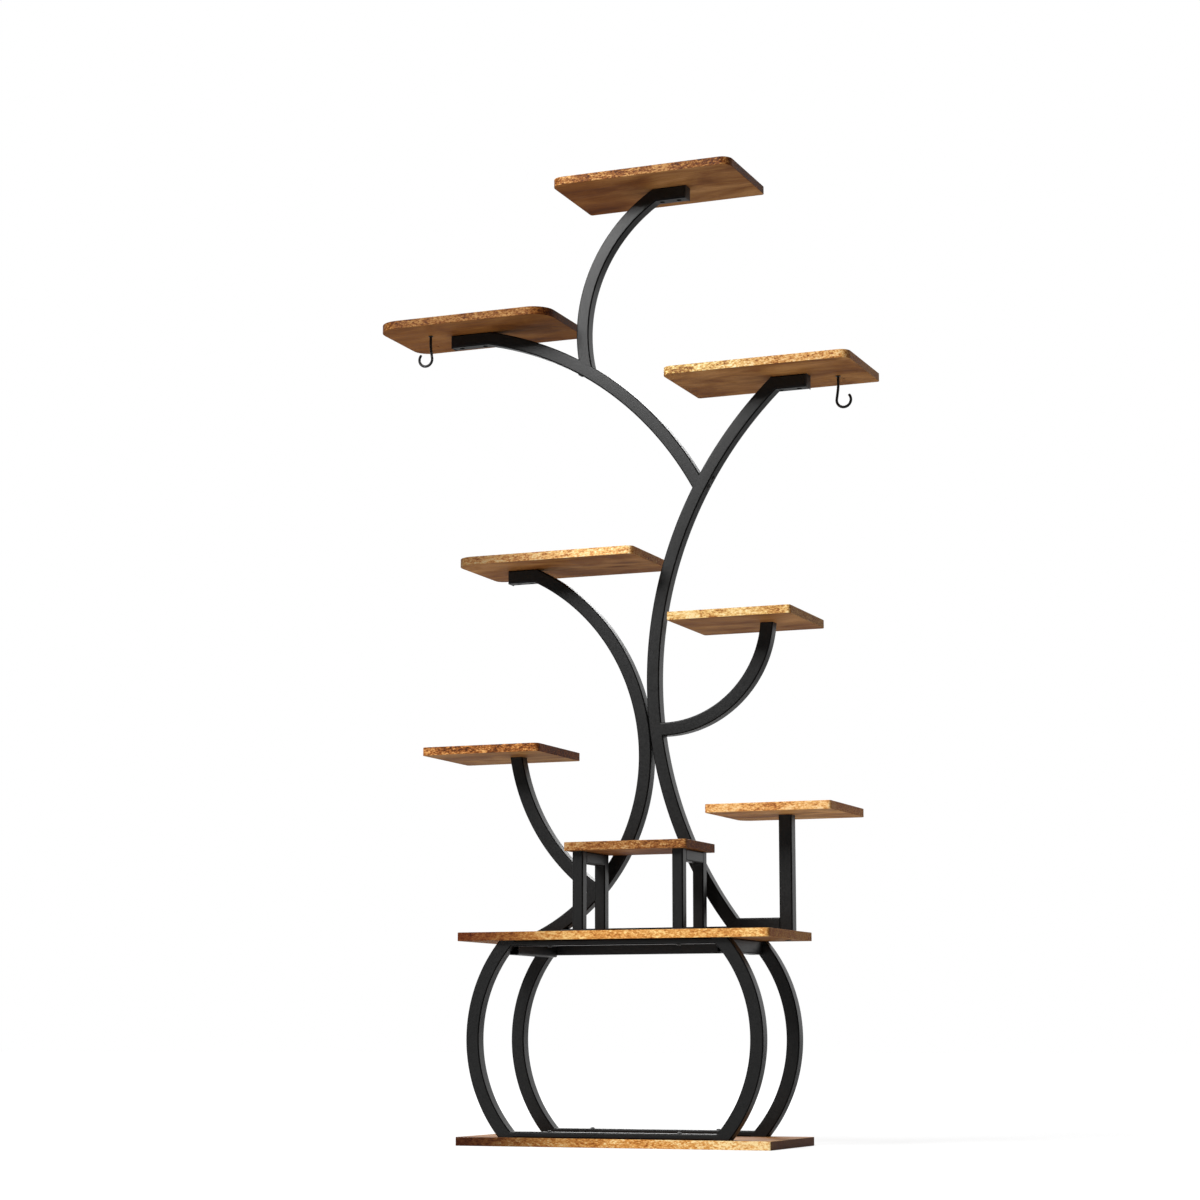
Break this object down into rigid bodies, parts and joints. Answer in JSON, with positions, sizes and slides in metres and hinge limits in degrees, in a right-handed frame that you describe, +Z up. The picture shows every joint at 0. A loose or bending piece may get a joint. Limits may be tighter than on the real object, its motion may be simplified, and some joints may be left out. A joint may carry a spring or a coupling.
{
  "type": "tree-shaped plant stand",
  "caption": "Free-standing plant stand: two base shelves on bowed legs carry a tree of bent square tube with shelves at its branch ends, a small stool and hanging hooks.",
  "frame": {"origin": "middle of the bottom shelf's underside, on the floor", "axes": "+X to the right seen from the front, +Y to the back, +Z up"},
  "size_m": [0.926, 0.27, 1.756],
  "materials": {
    "shelf_board": "rustic brown veneer with a printed oak grain on faces and edges, matt",
    "black_tube": "matt black powder coat, fine texture",
    "plain_steel": "zinc plated, not seen",
    "black_plastic": "matt black moulded plastic",
    "black_screw": "black oxide",
    "hook_wire": "satin black lacquer"
  },
  "bodies": {
    "stand": {"bottom_shelf": "shelf_board", "second_shelf": "shelf_board", "front_left_leg": "black_tube", "front_right_leg": "black_tube", "back_left_leg": "black_tube", "back_right_leg": "black_tube", "front_top_bar": "black_tube", "front_bottom_bar": "black_tube", "back_top_bar": "black_tube", "back_bottom_bar": "black_tube", "left_crossbar": "black_tube", "right_crossbar": "black_tube", "base_screws": "black_screw", "trunk_lower": "black_tube", "trunk_upper": "black_tube", "trunk_sleeve": "plain_steel", "left_arc": "black_tube", "branch_1": "black_tube", "branch_2": "black_tube", "branch_5": "black_tube", "branch_6": "black_tube", "right_post": "black_tube", "base_rail": "black_tube", "tie_bar": "black_tube", "branch_inserts": "plain_steel", "post_inserts": "plain_steel", "foot_inserts": "plain_steel", "bracket_caps": "black_plastic", "tree_bolts": "black_screw", "sleeve_screws": "black_screw", "foot_bolts": "black_screw", "bracket_screws": "black_screw", "post_screws": "black_screw", "shelf_1": "shelf_board", "shelf_2": "shelf_board", "shelf_3": "shelf_board", "shelf_4": "shelf_board", "shelf_5": "shelf_board", "shelf_6": "shelf_board", "shelf_7": "shelf_board"},
    "stool": {"stool_board": "shelf_board", "stool_left_frame": "black_tube", "stool_right_frame": "black_tube", "stool_feet": "black_plastic", "stool_screws": "black_screw"},
    "left_hook": {"hook_left": "hook_wire"},
    "right_hook": {"hook_right": "hook_wire"}
  },
  "joints": [
    {"name": "stool_lift", "type": "slide", "parent": "stand", "child": "stool", "axis": [0, 0, 1], "range_m": [0, 0.3]},
    {"name": "left_hook_turn", "type": "hinge", "parent": "stand", "child": "left_hook", "pos_m": [-0.423, 0.026, 1.501], "axis": [0, 0, 1], "range_deg": [-180, 180]},
    {"name": "right_hook_turn", "type": "hinge", "parent": "stand", "child": "right_hook", "pos_m": [0.365, 0.079, 1.362], "axis": [0, 0, 1], "range_deg": [-180, 180]}
  ]
}
